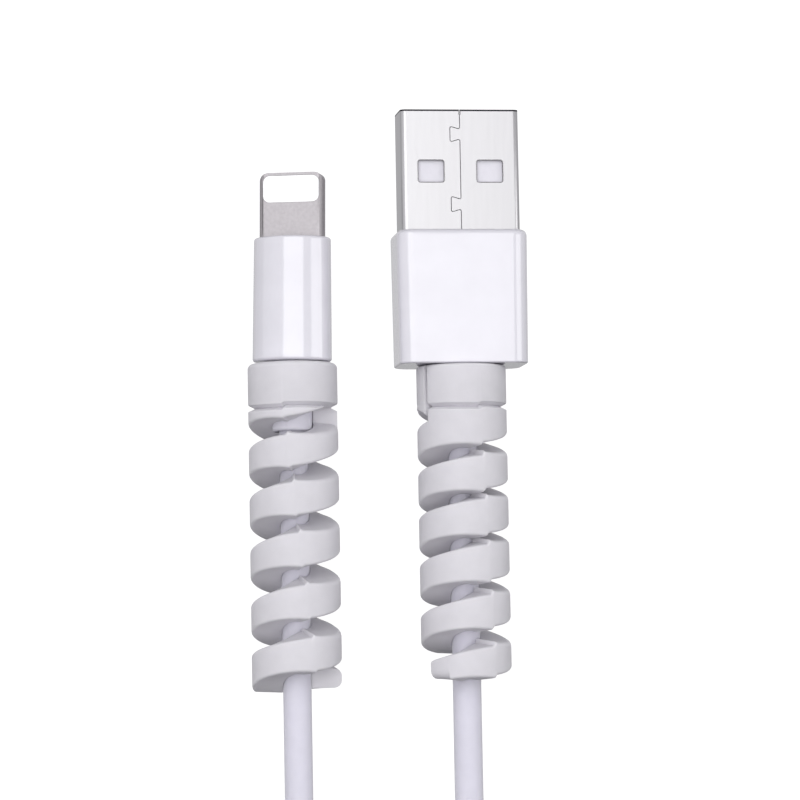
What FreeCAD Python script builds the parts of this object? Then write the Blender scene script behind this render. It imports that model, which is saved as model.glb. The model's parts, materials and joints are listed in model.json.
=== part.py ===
"""A charging cable: a USB-A plug and a flat 8-pin phone plug, each with a spiral protector on its cord.

The cable lies on a table at z = 0. Both plugs point along +Y, side by side, and their cords run back
along -Y to one neat coil. Each plug is modelled in a frame of its own, with +Y out of its tip, +X across
it, +Z through its thickness and its origin in the middle of the housing's rear face, and is then turned
and moved to its place.
"""
import FreeCAD, Part
import math
import os
from FreeCAD import Vector

# Layout, in millimetres and degrees
plug_spacing = 16.95
usb_set_back = 0.7
usb_roll = 8.0
phone_roll = -12.0
phone_yaw = -1.0
protector_gap = 0.1
protector_travel = 12.0
table_clearance = 0.02

# Clearances
press_clearance = 0.02
bore_clearance = 0.08
slide_clearance = 0.05

# Cord
cord_diameter = 2.85
sheath_end = 2.2
cord_bend_room = 5.7
cord_first_out = 3.5
cord_first_step = 6.2
cord_second_in = 3.1
cord_second_step = 12.1
cord_third_step = 17.7
usb_cord_heights = (3.3, 2.1)
phone_cord_heights = (3.5, 3.9)
coil_centre_step = 26.0
coil_turns = 7.5
coil_climb_turns = 0.5
coil_pitch = 3.35
coil_mean_diameter = 29.6
tie_width = 6.0
tie_thickness = 0.5
tie_clearance = 0.06
tie_side_clearance = 0.2

# Wires inside the plugs
wire_diameter = 0.76
wire_offset = 0.42
wire_toe_out = 0.1
usb_wire_straight = 0.95
usb_wire_lie = 2.3
phone_wire_straight = 0.7
phone_wire_lie = 1.2

# USB-A plug
usb_housing_width = 13.25
usb_housing_rear_width = 13.0
usb_housing_thickness = 7.2
usb_housing_length = 13.5
usb_housing_corner = 1.6
usb_front_edge = 0.6
usb_rear_edge = 0.2
usb_rear_wall = 1.0
usb_front_wall = 1.0
usb_mould_width = 12.4
usb_mould_thickness = 5.6
usb_mould_corner = 0.9
shell_width = 12.0
shell_thickness = 4.5
shell_wall = 0.3
shell_corner = 0.55
shell_exposed = 12.2
shell_hidden = 5.0
window_width = 2.6
window_length = 2.2
window_offset = 2.98
window_from_tip = 5.15
window_corner = 0.2
seam_width = 0.08
dovetail_depth = 1.0
dovetail_head = 1.6
dovetail_neck = 1.0
dovetail_from_tip = (1.7, 8.8)
dovetail_roundness = 0.2
tongue_recess = 0.4
insulator_clearance = 0.12
tongue_underside = 0.05
block_length = 5.6
contact_width = 1.0
contact_thickness = 0.25
contact_proud = 0.1
contact_tail = 1.3
power_contact_x = 3.5
power_contact_recess = 1.5
data_contact_x = 1.0
data_contact_recess = 2.5
usb_wire_overlap = 0.9

# Phone plug
phone_housing_width = 8.1
phone_housing_front_width = 7.85
phone_housing_thickness = 6.0
phone_housing_front_thickness = 5.9
phone_housing_side = 2.2
phone_housing_length = 12.55
phone_housing_edge = 0.3
phone_rear_wall = 1.0
phone_front_wall = 1.0
phone_mould_width = 6.6
phone_mould_thickness = 4.4
phone_mould_corner = 1.8
tongue_width = 6.7
tongue_thickness = 1.5
tongue_exposed = 6.6
tongue_hidden = 3.0
tongue_side = 0.6
tongue_tip_corner = 1.0
flange_width = 6.5
flange_thickness = 2.6
flange_length = 1.6
flange_corner = 0.6
pin_window_width = 5.8
pin_window_length = 2.75
pin_window_from_tip = 0.28
pin_window_corner = 0.7
insert_recess = 0.03
pin_count = 8
pin_pitch = 0.62
pin_width = 0.42
pin_length = 1.95
pin_front_gap = 0.6
pin_recess = 0.01
board_width = 5.2
board_thickness = 0.6
board_rear = 4.2
board_front_gap = 0.75
solder_pad_length = 0.9
solder_pad_x = 1.2
chip_width = 2.2
chip_length = 1.6
chip_thickness = 0.6
chip_rear = 6.2
capacitor_width = 0.3
capacitor_length = 0.6
capacitor_thickness = 0.3
capacitor_rear = 5.7
capacitor_x = (-1.5, -0.5, 0.5, 1.5)
can_width = 4.4
can_length = 2.7
can_height = 0.9
can_wall = 0.15
can_rear = 5.4

# Strain reliefs, one inside each protector's collar and first turn
relief_diameter = 4.0
relief_length = 7.0
relief_bore_clearance = 0.15
relief_edge = 0.3
relief_flange_diameter = 4.4
relief_flange_thickness = 0.8

# Spiral protectors: one moulding, wound on more tightly at the USB end
protector_diameter = 9.0
protector_turns = 5
collar_length = 4.0
collar_edge = 0.5
groove_width = 0.65
groove_depth = 0.7
slit_width = 0.35
tail_edge = 0.5
tail_tip = 0.85
counterbore_clearance = 0.25
usb_spiral_pitch = 4.95
usb_spiral_gap = 1.55
usb_slit_angle = -53.0
phone_spiral_pitch = 5.2
phone_spiral_gap = 1.75
phone_slit_angle = 97.0

# Sizes that follow from those above
cord_radius = cord_diameter / 2
protector_radius = protector_diameter / 2
protector_bore = cord_radius + slide_clearance
shell_tip = usb_housing_length + shell_exposed
shell_rear = usb_housing_length - shell_hidden
tongue_tip = phone_housing_length + tongue_exposed
tongue_rear = phone_housing_length - tongue_hidden
contact_face = tongue_underside - contact_proud
coil_inner_radius = coil_mean_diameter / 2 - coil_pitch * coil_turns / 4
coil_outer_radius = coil_inner_radius + coil_pitch * coil_turns / 2
coil_low = cord_radius + table_clearance + tie_thickness + tie_clearance
coil_high = coil_low + coil_pitch


def reach(width, thickness, corner, angle, across):
    """Half the size of a rounded rectangle turned by angle, across the table or up from it."""
    turn = math.radians(abs(angle))
    long_share = math.cos(turn) if across else math.sin(turn)
    short_share = math.sin(turn) if across else math.cos(turn)
    return (width / 2 - corner) * long_share + (thickness / 2 - corner) * short_share + corner


usb_section = (usb_housing_width, usb_housing_thickness, usb_housing_corner, usb_roll)
axis_height = max(protector_radius, reach(*usb_section, across=False))
usb_reach = max(reach(*usb_section, across=True), protector_radius)
phone_reach = max(protector_radius, phone_housing_width / 2)


def protector_length(pitch, gap):
    """From the collar's top to the flat end, where the last turn ends in a blunt tip."""
    return collar_length + groove_width / 2 + protector_turns * pitch + gap + tail_tip


phone_protector_length = protector_length(phone_spiral_pitch, phone_spiral_gap)
usb_protector_length = protector_length(usb_spiral_pitch, usb_spiral_gap)
protectors_reach = protector_gap + max(phone_protector_length, usb_set_back + usb_protector_length)
front_y = max(shell_tip - usb_set_back, tongue_tip)

# The cord is straight as far as its protector slides, and only then bends down to the table
cord_bend_y = protectors_reach + protector_travel + cord_bend_room
coil_centre_y = cord_bend_y + coil_centre_step

# The origin is under the middle of the two plugs and their protectors
shift_x = (phone_reach - usb_reach) / 2
shift_y = (protectors_reach - front_y) / 2
usb_y = shift_y - usb_set_back
usb_x = plug_spacing / 2 + shift_x
phone_x = -plug_spacing / 2 + shift_x


# Plain solids
def block(x0, x1, y0, y1, z0, z1):
    """A box between two corners."""
    return Part.makeBox(x1 - x0, y1 - y0, z1 - z0, Vector(x0, y0, z0))


def arc(start, middle, end):
    return Part.Arc(start, middle, end).toShape()


def rounded_outline(width, thickness, corner, y):
    """A rounded rectangle across the plug at y."""
    a = width / 2 - corner
    b = thickness / 2 - corner
    s = corner * math.sqrt(0.5)
    edges = []
    for sx, sz in ((1, 1), (-1, 1), (-1, -1), (1, -1)):
        side = Vector(sx * (a + corner), y, sz * b)
        top = Vector(sx * a, y, sz * (b + corner))
        middle = Vector(sx * (a + s), y, sz * (b + s))
        first, last = (side, top) if sx * sz > 0 else (top, side)
        edges.append((first, middle, last))
    shapes = []
    for i, (first, middle, last) in enumerate(edges):
        shapes.append(arc(first, middle, last))
        shapes.append(Part.LineSegment(last, edges[(i + 1) % 4][0]).toShape())
    return Part.Wire(shapes)


def rounded_prism(width, thickness, corner, y0, y1):
    """A rounded rectangle drawn out along the plug."""
    return Part.Face(rounded_outline(width, thickness, corner, y0)).extrude(Vector(0, y1 - y0, 0))


def oval_outline(width, thickness, side, y):
    """An oval of four tangent arcs: two flat ones above and below, two of radius side at the ends."""
    a = width / 2
    b = thickness / 2
    crown = (a * a + b * b - 2 * a * side) / (2 * (b - side))
    low = crown - b
    reach_x = a - side
    scale = crown / math.hypot(reach_x, low)
    join_x = reach_x * scale
    join_z = low * scale - low
    right_top = Vector(join_x, y, join_z)
    right_low = Vector(join_x, y, -join_z)
    left_top = Vector(-join_x, y, join_z)
    left_low = Vector(-join_x, y, -join_z)
    return Part.Wire([
        arc(right_low, Vector(a, y, 0), right_top),
        arc(right_top, Vector(0, y, b), left_top),
        arc(left_top, Vector(-a, y, 0), left_low),
        arc(left_low, Vector(0, y, -b), right_low),
    ])


def rod(diameter, y0, y1):
    """A round bar along the plug's axis."""
    return Part.makeCylinder(diameter / 2, y1 - y0, Vector(0, y0, 0), Vector(0, 1, 0))


def soften_ends(solid, radius, *levels):
    """Rounds the outer edges of a solid's end faces at the given levels of y."""
    edges = []
    for edge in solid.Edges:
        box = edge.BoundBox
        if box.YLength < 1e-6 and any(abs(box.YMin - level) < 1e-6 for level in levels):
            edges.append(edge)
    return solid.makeFillet(radius, edges)


# Paths and tubes
def rounded_path(points, share=0.45):
    """Straight runs joined by tangent arcs that take that share of them. Returns the wire and the radii."""
    edges = []
    radii = []
    start = points[0]
    for before, corner, after in zip(points, points[1:], points[2:]):
        come = (corner - before).normalize()
        go = (after - corner).normalize()
        setback = share * min((corner - before).Length, (after - corner).Length)
        half_turn = come.getAngle(go) / 2
        radius = setback / math.tan(half_turn)
        first = corner - come * setback
        last = corner + go * setback
        inward = (go - come).normalize()
        middle = corner + inward * (radius / math.cos(half_turn) - radius)
        edges.append(Part.LineSegment(start, first).toShape())
        edges.append(arc(first, middle, last))
        radii.append(radius)
        start = last
    edges.append(Part.LineSegment(start, points[-1]).toShape())
    return Part.Wire(edges), radii


def tube(path, start, direction, diameter):
    """A round solid swept along a path."""
    ring = Part.Wire([Part.Circle(start, direction, diameter / 2).toShape()])
    return path.makePipeShell([ring], True, False)


def routed_tube(points, diameter):
    path, radii = rounded_path(points)
    return tube(path, points[0], points[1] - points[0], diameter), path.Length, radii


def arc_from_tangent(start, tangent, end):
    """The arc that leaves start along tangent and arrives at end."""
    chord = end - start
    along = Vector(chord).normalize()
    turn = tangent.getAngle(along)
    outward = (tangent - along * tangent.dot(along)).normalize()
    middle = start + chord * 0.5 + outward * (chord.Length / 2 * math.tan(turn / 2))
    return arc(start, middle, end)


def biarc(start, start_tangent, end, end_tangent):
    """Two tangent arcs between two points with given directions."""
    chord = end - start
    both = start_tangent + end_tangent
    spread = 2 * (1 - start_tangent.dot(end_tangent))
    root = math.sqrt(chord.dot(both) ** 2 + spread * chord.dot(chord))
    reach_out = (root - chord.dot(both)) / spread
    joint = (start + start_tangent * reach_out + end - end_tangent * reach_out) * 0.5
    return [
        arc_from_tangent(start, start_tangent, joint),
        arc_from_tangent(end, end_tangent * -1, joint),
    ]


def make_wire(side, face, straight, x, end_y, lie, z):
    """A wire from the cord's end, splayed out to lie along what it is soldered to."""
    start = Vector(side * wire_offset, sheath_end, face * wire_offset)
    route = [
        start,
        start + Vector(0, straight, 0),
        Vector(x - side * wire_toe_out, end_y - lie, z),
        Vector(x, end_y, z),
    ]
    return routed_tube(route, wire_diameter)[0]


# USB-A plug
def make_usb_housing():
    front = rounded_outline(usb_housing_width, usb_housing_thickness, usb_housing_corner, usb_housing_length)
    rear = rounded_outline(usb_housing_rear_width, usb_housing_thickness, usb_housing_corner, 0)
    body = Part.makeLoft([rear, front], True, True)
    body = soften_ends(body, usb_rear_edge, 0)
    body = soften_ends(body, usb_front_edge, usb_housing_length)
    cavity = rounded_prism(
        usb_mould_width + 2 * press_clearance, usb_mould_thickness + 2 * press_clearance,
        usb_mould_corner, usb_rear_wall, usb_housing_length - usb_front_wall)
    mouth = rounded_prism(
        shell_width + 2 * press_clearance, shell_thickness + 2 * press_clearance,
        shell_corner, usb_rear_wall, usb_housing_length + 1)
    cord_hole = rod(relief_diameter + 2 * press_clearance, -1, usb_rear_wall + 1)
    return body.cut(cavity).cut(mouth).cut(cord_hole)


def make_seam():
    """The slit where the shell's edges meet, with two dovetails that lock them."""
    side = -dovetail_depth
    flare = (dovetail_head - dovetail_neck) / 2
    low = shell_thickness / 2 - shell_wall * 1.5
    high = shell_thickness / 2 + shell_wall / 2
    corners = [(0, -1)]
    for start in dovetail_from_tip:
        end = start + dovetail_head
        corners += [(0, start + flare), (side, start), (side, end), (0, end - flare)]
    corners.append((0, shell_exposed + shell_hidden + 1))
    points = [Vector(x, shell_tip - depth, low) for x, depth in corners]
    path, _ = rounded_path(points, dovetail_roundness)
    half = seam_width / 2
    start = points[0]
    outline = Part.makePolygon([
        start + Vector(-half, 0, 0), start + Vector(half, 0, 0), start + Vector(half, 0, high - low),
        start + Vector(-half, 0, high - low), start + Vector(-half, 0, 0)])
    return path.makePipeShell([outline], True, False)


def window_cutter(x):
    """A latch window through both faces of the shell, with small round corners."""
    y1 = shell_tip - window_from_tip
    cutter = block(x - window_width / 2, x + window_width / 2, y1 - window_length, y1,
                   -shell_thickness, shell_thickness)
    uprights = [edge for edge in cutter.Edges if edge.BoundBox.ZLength > shell_thickness]
    return cutter.makeFillet(window_corner, uprights)


def make_usb_shell():
    shell = rounded_prism(shell_width, shell_thickness, shell_corner, shell_rear, shell_tip)
    inside = rounded_prism(
        shell_width - 2 * shell_wall, shell_thickness - 2 * shell_wall,
        shell_corner - shell_wall, shell_rear - 1, shell_tip + 1)
    shell = shell.cut(inside)
    for x in (-window_offset, window_offset):
        shell = shell.cut(window_cutter(x))
    return shell.cut(make_seam())


def usb_contact_places():
    """Across the tongue: power, data, data, power, with how far each starts from the shell's mouth."""
    return [
        (-power_contact_x, power_contact_recess), (-data_contact_x, data_contact_recess),
        (data_contact_x, data_contact_recess), (power_contact_x, power_contact_recess),
    ]


def make_usb_contact(x, recess):
    return block(
        x - contact_width / 2, x + contact_width / 2, shell_rear - contact_tail, shell_tip - recess,
        contact_face, contact_face + contact_thickness)


def make_usb_insulator():
    """A tongue under the shell's seamed face, and a block that fills the shell behind it."""
    half_width = shell_width / 2 - shell_wall - insulator_clearance
    ceiling = shell_thickness / 2 - shell_wall - insulator_clearance
    block_front = shell_rear + block_length
    insulator = rounded_prism(
        2 * half_width, 2 * ceiling, shell_corner - shell_wall, shell_rear, shell_tip - tongue_recess)
    opening = block(-shell_width, shell_width, block_front, shell_tip,
                    -shell_thickness, tongue_underside)
    return insulator.cut(opening).cut(Part.makeCompound(usb_contacts))


def make_usb_wires():
    """Four wires from the cord's end to the contacts' tails, where each lies on its tail."""
    tail_z = contact_face + contact_thickness + wire_diameter / 2
    tail_end = shell_rear - contact_tail + usb_wire_overlap
    wires = []
    for side in (-1, 1):
        for face, x in ((1, data_contact_x), (-1, power_contact_x)):
            wires.append(make_wire(side, face, usb_wire_straight, side * x, tail_end, usb_wire_lie, tail_z))
    return wires


def make_usb_mould():
    start = usb_rear_wall + relief_flange_thickness + press_clearance
    end = usb_housing_length - usb_front_wall - press_clearance
    mould = rounded_prism(usb_mould_width, usb_mould_thickness, usb_mould_corner, start, end)
    shell_space = rounded_prism(shell_width, shell_thickness, shell_corner, shell_rear, shell_tip)
    mould = mould.cut(shell_space).cut(rod(cord_diameter, -1, sheath_end))
    return mould.cut(Part.makeCompound(usb_wires)).cut(Part.makeCompound(usb_contacts))


def make_strain_relief(rear_wall):
    """A sleeve on the cord, held in the housing's rear wall by a flange."""
    flange_end = rear_wall + relief_flange_thickness
    sleeve = rod(relief_diameter, -relief_length, flange_end)
    sleeve = soften_ends(sleeve, relief_edge, -relief_length)
    flange = rod(relief_flange_diameter, rear_wall, flange_end)
    bore = rod(cord_diameter + 2 * relief_bore_clearance, -relief_length - 1, flange_end + 1)
    return sleeve.fuse(flange).removeSplitter().cut(bore)


# Phone plug
def make_phone_housing():
    rear = oval_outline(phone_housing_width, phone_housing_thickness, phone_housing_side, 0)
    front = oval_outline(
        phone_housing_front_width, phone_housing_front_thickness, phone_housing_side,
        phone_housing_length)
    body = Part.makeLoft([rear, front], True, True)
    body = soften_ends(body, phone_housing_edge, 0, phone_housing_length)
    cavity = rounded_prism(
        phone_mould_width + 2 * press_clearance, phone_mould_thickness + 2 * press_clearance,
        phone_mould_corner, phone_rear_wall, phone_housing_length - phone_front_wall)
    mouth = rounded_prism(
        tongue_width + 2 * press_clearance, tongue_thickness + 2 * press_clearance,
        tongue_side, phone_rear_wall + 1, phone_housing_length + 1)
    cord_hole = rod(relief_diameter + 2 * press_clearance, -1, phone_rear_wall + 1)
    return body.cut(cavity).cut(mouth).cut(cord_hole)


def pin_window(clearance):
    """The window in the tongue, as a solid through its thickness."""
    width = pin_window_width - 2 * clearance
    length = pin_window_length - 2 * clearance
    middle_y = tongue_tip - pin_window_from_tip - pin_window_length / 2
    outline = rounded_outline(width, length, pin_window_corner - clearance, 0)
    prism = Part.Face(outline).extrude(Vector(0, 2 * tongue_thickness, 0))
    prism.rotate(Vector(0, 0, 0), Vector(1, 0, 0), 90)
    prism.translate(Vector(0, middle_y, -tongue_thickness))
    return prism


def make_phone_frame():
    """The plated tongue: a frame round the contacts, with a flange inside the housing."""
    plan = block(-tongue_width / 2, tongue_width / 2, tongue_rear, tongue_tip,
                 -tongue_thickness / 2, tongue_thickness / 2)
    tips = [e for e in plan.Edges
            if e.BoundBox.ZLength > tongue_thickness / 2 and e.BoundBox.YMin > tongue_tip - 1e-6]
    plan = plan.makeFillet(tongue_tip_corner, tips)
    section = rounded_prism(tongue_width, tongue_thickness, tongue_side, tongue_rear, tongue_tip + 1)
    frame = plan.common(section)
    flange_end = phone_housing_length - phone_front_wall - press_clearance
    flange = rounded_prism(
        flange_width, flange_thickness, flange_corner, flange_end - flange_length, flange_end)
    frame = frame.fuse(flange).removeSplitter().cut(pin_window(0))
    board_slot = block(
        -board_width / 2 - slide_clearance, board_width / 2 + slide_clearance, tongue_rear - 1,
        tongue_tip - pin_window_from_tip - pin_window_length + pin_window_corner,
        -board_thickness / 2 - slide_clearance, board_thickness / 2 + slide_clearance)
    return frame.cut(board_slot)


def make_phone_board():
    return block(-board_width / 2, board_width / 2, board_rear, tongue_tip - board_front_gap,
                 -board_thickness / 2, board_thickness / 2)


def make_phone_contact(index, side):
    """One of a row of contacts that stand on the board and end flush with the tongue's face."""
    x = (index - (pin_count - 1) / 2) * pin_pitch
    y1 = tongue_tip - pin_window_from_tip - pin_front_gap + press_clearance
    low = board_thickness / 2
    high = tongue_thickness / 2 - pin_recess
    z0, z1 = (low, high) if side > 0 else (-high, -low)
    return block(x - pin_width / 2, x + pin_width / 2, y1 - pin_length, y1, z0, z1)


def make_phone_insert():
    skin = tongue_thickness / 2 - insert_recess
    slab = block(-tongue_width, tongue_width, phone_housing_length, tongue_tip, -skin, skin)
    insert = pin_window(press_clearance).common(slab).cut(phone_board)
    return insert.cut(Part.makeCompound(phone_contacts))


def make_phone_chip():
    top = board_thickness / 2
    return block(-chip_width / 2, chip_width / 2, chip_rear, chip_rear + chip_length,
                 top, top + chip_thickness)


def make_phone_capacitors():
    """Four small capacitors behind the chip, in one group."""
    top = board_thickness / 2
    return Part.makeCompound([
        block(x - capacitor_length / 2, x + capacitor_length / 2, capacitor_rear,
              capacitor_rear + capacitor_width, top, top + capacitor_thickness)
        for x in capacitor_x])


def shield_space():
    """The outside of the shield can, filled."""
    top = board_thickness / 2
    return block(-can_width / 2, can_width / 2, can_rear, can_rear + can_length, top, top + can_height)


def make_phone_shield():
    top = board_thickness / 2
    hollow = block(
        -can_width / 2 + can_wall, can_width / 2 - can_wall, can_rear + can_wall,
        can_rear + can_length - can_wall, top - 1, top + can_height - can_wall)
    return shield_space().cut(hollow)


def make_phone_wires():
    """Four wires from the cord's end to solder pads at the board's rear, two on each face."""
    pad_z = board_thickness / 2 + wire_diameter / 2
    pad_end = board_rear + solder_pad_length
    return [
        make_wire(side, face, phone_wire_straight, side * solder_pad_x, pad_end, phone_wire_lie, face * pad_z)
        for side in (-1, 1) for face in (1, -1)]


def make_phone_mould():
    """Holds the board and the tongue's flange, with an open room round the wires and their solder."""
    start = phone_rear_wall + relief_flange_thickness + press_clearance
    end = phone_housing_length - phone_front_wall - press_clearance
    mould = rounded_prism(phone_mould_width, phone_mould_thickness, phone_mould_corner, start, end)
    tongue_space = rounded_prism(tongue_width, tongue_thickness, tongue_side, tongue_rear, end + 1)
    flange_space = rounded_prism(
        flange_width, flange_thickness, flange_corner, end - flange_length, end + 1)
    room_x = solder_pad_x + wire_diameter / 2 + bore_clearance
    room_z = cord_radius + bore_clearance
    room_end = board_rear + solder_pad_length + bore_clearance
    wire_room = block(-room_x, room_x, start - 1, room_end, -room_z, room_z)
    return mould.cut(tongue_space).cut(flange_space).cut(phone_board).cut(shield_space()).cut(wire_room)


# Spiral protector, stood on end: its collar is at the top, at z = 0, and it reaches down from there
def protector_blank(length):
    """The tube before it is slit: a rounded collar, a V groove, a plain sleeve and a counterbore."""
    r = protector_radius
    bore = protector_bore
    counterbore = relief_diameter / 2 + counterbore_clearance
    counterbore_depth = relief_length + counterbore_clearance - protector_gap
    s = 1 - math.sqrt(0.5)
    groove_top = -collar_length
    groove_low = groove_top - groove_width
    corners = [
        Vector(counterbore, 0, 0), Vector(r - collar_edge, 0, 0), Vector(r, 0, -collar_edge),
        Vector(r, 0, groove_top), Vector(r - groove_depth, 0, (groove_top + groove_low) / 2),
        Vector(r, 0, groove_low), Vector(r, 0, -length + tail_edge),
        Vector(r - tail_edge, 0, -length), Vector(bore, 0, -length),
        Vector(bore, 0, -counterbore_depth), Vector(counterbore, 0, -counterbore_depth),
    ]
    top_middle = Vector(r - collar_edge * s, 0, -collar_edge * s)
    low_middle = Vector(r - tail_edge * s, 0, -length + tail_edge * s)
    edges = []
    for i, corner in enumerate(corners):
        following = corners[(i + 1) % len(corners)]
        if i == 1:
            edges.append(arc(corner, top_middle, following))
        elif i == 6:
            edges.append(arc(corner, low_middle, following))
        else:
            edges.append(Part.LineSegment(corner, following).toShape())
    return Part.Face(Part.Wire(edges)).revolve(Vector(0, 0, 0), Vector(0, 0, 1), 360)


def helical_cutter(pitch, first_turn, last_turn, zero_z, low, high):
    """A ribbon through the wall from one turn to another, from low to high above a helix that passes
    the +X side at zero_z on turn 0."""
    inner = protector_bore / 2
    outer = protector_radius + 1
    section = Part.makePolygon([
        Vector(inner, 0, low), Vector(outer, 0, low), Vector(outer, 0, high), Vector(inner, 0, high),
        Vector(inner, 0, low),
    ])
    helix = Part.makeLongHelix(pitch, pitch * (last_turn - first_turn), outer)
    ribbon = Part.Wire(helix.Edges).makePipeShell([section], True, True)
    ribbon.rotate(Vector(0, 0, 0), Vector(0, 0, 1), 360 * first_turn)
    ribbon.translate(Vector(0, 0, zero_z + pitch * first_turn))
    return ribbon


def make_protector(pitch, gap, slit_angle):
    """A sleeve slit into a ribbon of five turns below a collar that is slit from end to end."""
    length = protector_length(pitch, gap)
    blank = protector_blank(length)
    gap_top = -collar_length - groove_width / 2
    ribbon_end = gap_top - protector_turns * pitch - gap
    spiral_gap = helical_cutter(pitch, 0, protector_turns, ribbon_end, 0, gap)
    overrun = (tail_tip + gap) / pitch + 0.1
    tail_cut = helical_cutter(pitch, -overrun, 0, ribbon_end, -tail_tip - 1, gap)
    slit = block(0, protector_diameter, -slit_width / 2, slit_width / 2, gap_top - gap / 2, 1)
    solid = blank.cut(spiral_gap).cut(tail_cut).cut(slit)
    solid.rotate(Vector(0, 0, 0), Vector(0, 0, 1), slit_angle - 90)
    solid.rotate(Vector(0, 0, 0), Vector(1, 0, 0), -90)
    inner_slope = math.atan(pitch / (2 * math.pi * protector_bore))
    print(f"protector {length:.2f} mm long, least gap to itself {gap * math.cos(inner_slope):.2f} mm")
    return solid


# Cord
def coil_point(turn):
    """Where the cord's centre is after that many turns, from the USB side's end of the coil."""
    middle = coil_turns / 2
    ease = coil_climb_turns / 2
    away = abs(turn - middle)
    if away < ease:
        away = away * away / (2 * ease) + ease / 2
    radius = coil_inner_radius + coil_pitch * away
    climb = min(max((turn - middle) / coil_climb_turns + 0.5, 0), 1)
    height = coil_low + coil_pitch * (1 - math.cos(math.pi * climb)) / 2
    angle = -2 * math.pi * turn
    return Vector(
        shift_x + radius * math.cos(angle), shift_y - coil_centre_y + radius * math.sin(angle), height)


def make_coil():
    """Seven and a half turns in two layers: inwards below, up in the middle, outwards above."""
    steps = int(coil_turns * 4)
    small = 1e-4
    nodes = [coil_point(i / 4) for i in range(steps + 1)]
    ways = [(coil_point(i / 4 + small) - coil_point(i / 4 - small)).normalize()
            for i in range(steps + 1)]
    ways[0] = Vector(0, -1, 0)
    ways[-1] = Vector(0, 1, 0)
    lead_in = nodes[0] - ways[0] * cord_diameter
    lead_out = nodes[-1] + ways[-1] * cord_diameter
    edges = [Part.LineSegment(lead_in, nodes[0]).toShape()]
    for i in range(steps):
        edges += biarc(nodes[i], ways[i], nodes[i + 1], ways[i + 1])
    edges.append(Part.LineSegment(nodes[-1], lead_out).toShape())
    path = Part.Wire(edges)
    return tube(path, lead_in, ways[0], cord_diameter), path.Length, lead_in, lead_out


def coil_self_gap():
    """The least gap between turns, measured on points along the coil."""
    per_turn = 36
    count = int(coil_turns * per_turn)
    points = [coil_point(i / per_turn) for i in range(count + 1)]
    least = min(
        points[i].distanceToPoint(points[j])
        for i in range(count + 1) for j in range(i + per_turn // 2, count + 1))
    return least - cord_diameter


def cord_bends(x, side, heights, end):
    """The cord's corners, from its straight stretch out and down to that side of the coil."""
    y = shift_y - cord_bend_y
    return [
        Vector(x, y, axis_height),
        Vector(x + side * cord_first_out, y - cord_first_step, heights[0]),
        Vector(end.x - side * cord_second_in, y - cord_second_step, heights[1]),
        Vector(end.x, y - cord_third_step, end.z),
        end,
    ]


def make_tie():
    """A band round all the turns on the coil's far side."""
    inner_turn = coil_inner_radius + coil_pitch * 0.5 - cord_radius
    outer_turn = coil_inner_radius + coil_pitch * (coil_turns / 2 - 0.25) + cord_radius
    sag = inner_turn - math.sqrt(inner_turn ** 2 - (tie_width / 2) ** 2)
    near = inner_turn - sag - tie_side_clearance
    far = outer_turn + tie_side_clearance
    low = table_clearance + tie_thickness
    high = coil_high + cord_radius + tie_clearance
    middle = Vector(
        shift_x - tie_width / 2, shift_y - coil_centre_y - (near + far) / 2, (low + high) / 2)

    def band(extra):
        outline = rounded_outline(
            far - near + 2 * extra, high - low + 2 * extra, cord_radius + extra, 0)
        solid = Part.Face(outline).extrude(Vector(0, tie_width, 0))
        solid.rotate(Vector(0, 0, 0), Vector(0, 0, 1), -90)
        solid.translate(middle)
        return solid

    return band(tie_thickness).cut(band(0))


# Placing
def place(shape, x, y, roll, yaw):
    """Turns a plug's piece about its axis, swings it sideways and moves it to its place."""
    moved = shape.copy()
    moved.rotate(Vector(0, 0, 0), Vector(0, 1, 0), roll)
    moved.rotate(Vector(0, 0, 0), Vector(0, 0, 1), yaw)
    moved.translate(Vector(x, y, axis_height))
    return moved


def place_protector(shape, x, y):
    moved = shape.copy()
    moved.translate(Vector(x, y - protector_gap, axis_height))
    return moved


parts = {}


def keep(name, shape):
    """Keeps a finished piece under its node's name."""
    if not shape.isValid():
        print("not valid:", name)
    parts[name] = shape


usb_contacts = [make_usb_contact(x, recess) for x, recess in usb_contact_places()]
usb_wires = make_usb_wires()
usb_pieces = {
    "usb_housing": make_usb_housing(),
    "usb_shell": make_usb_shell(),
    "usb_insulator": make_usb_insulator(),
    "usb_inner_mould": make_usb_mould(),
    "usb_strain_relief": make_strain_relief(usb_rear_wall),
}
for number, contact in enumerate(usb_contacts, 1):
    usb_pieces[f"usb_contact_{number}"] = contact
for number, wire in enumerate(usb_wires, 1):
    usb_pieces[f"usb_wire_{number}"] = wire
for name, shape in usb_pieces.items():
    keep(name, place(shape, usb_x, usb_y, usb_roll, 0))

phone_board = make_phone_board()
phone_contacts = [make_phone_contact(i, side) for side in (1, -1) for i in range(pin_count)]
phone_wires = make_phone_wires()
phone_pieces = {
    "phone_housing": make_phone_housing(),
    "phone_plug_frame": make_phone_frame(),
    "phone_plug_insert": make_phone_insert(),
    "phone_board": phone_board,
    "phone_chip": make_phone_chip(),
    "phone_capacitors": make_phone_capacitors(),
    "phone_shield_can": make_phone_shield(),
    "phone_inner_mould": make_phone_mould(),
    "phone_strain_relief": make_strain_relief(phone_rear_wall),
}
for number, contact in enumerate(phone_contacts):
    row = "top" if number < pin_count else "bottom"
    phone_pieces[f"phone_contact_{row}_{number % pin_count + 1}"] = contact
for number, wire in enumerate(phone_wires, 1):
    phone_pieces[f"phone_wire_{number}"] = wire
for name, shape in phone_pieces.items():
    keep(name, place(shape, phone_x, shift_y, phone_roll, phone_yaw))

keep("usb_end_protector", place_protector(
    make_protector(usb_spiral_pitch, usb_spiral_gap, usb_slit_angle), usb_x, usb_y))
keep("phone_end_protector", place_protector(
    make_protector(phone_spiral_pitch, phone_spiral_gap, phone_slit_angle), phone_x, shift_y))

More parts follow.
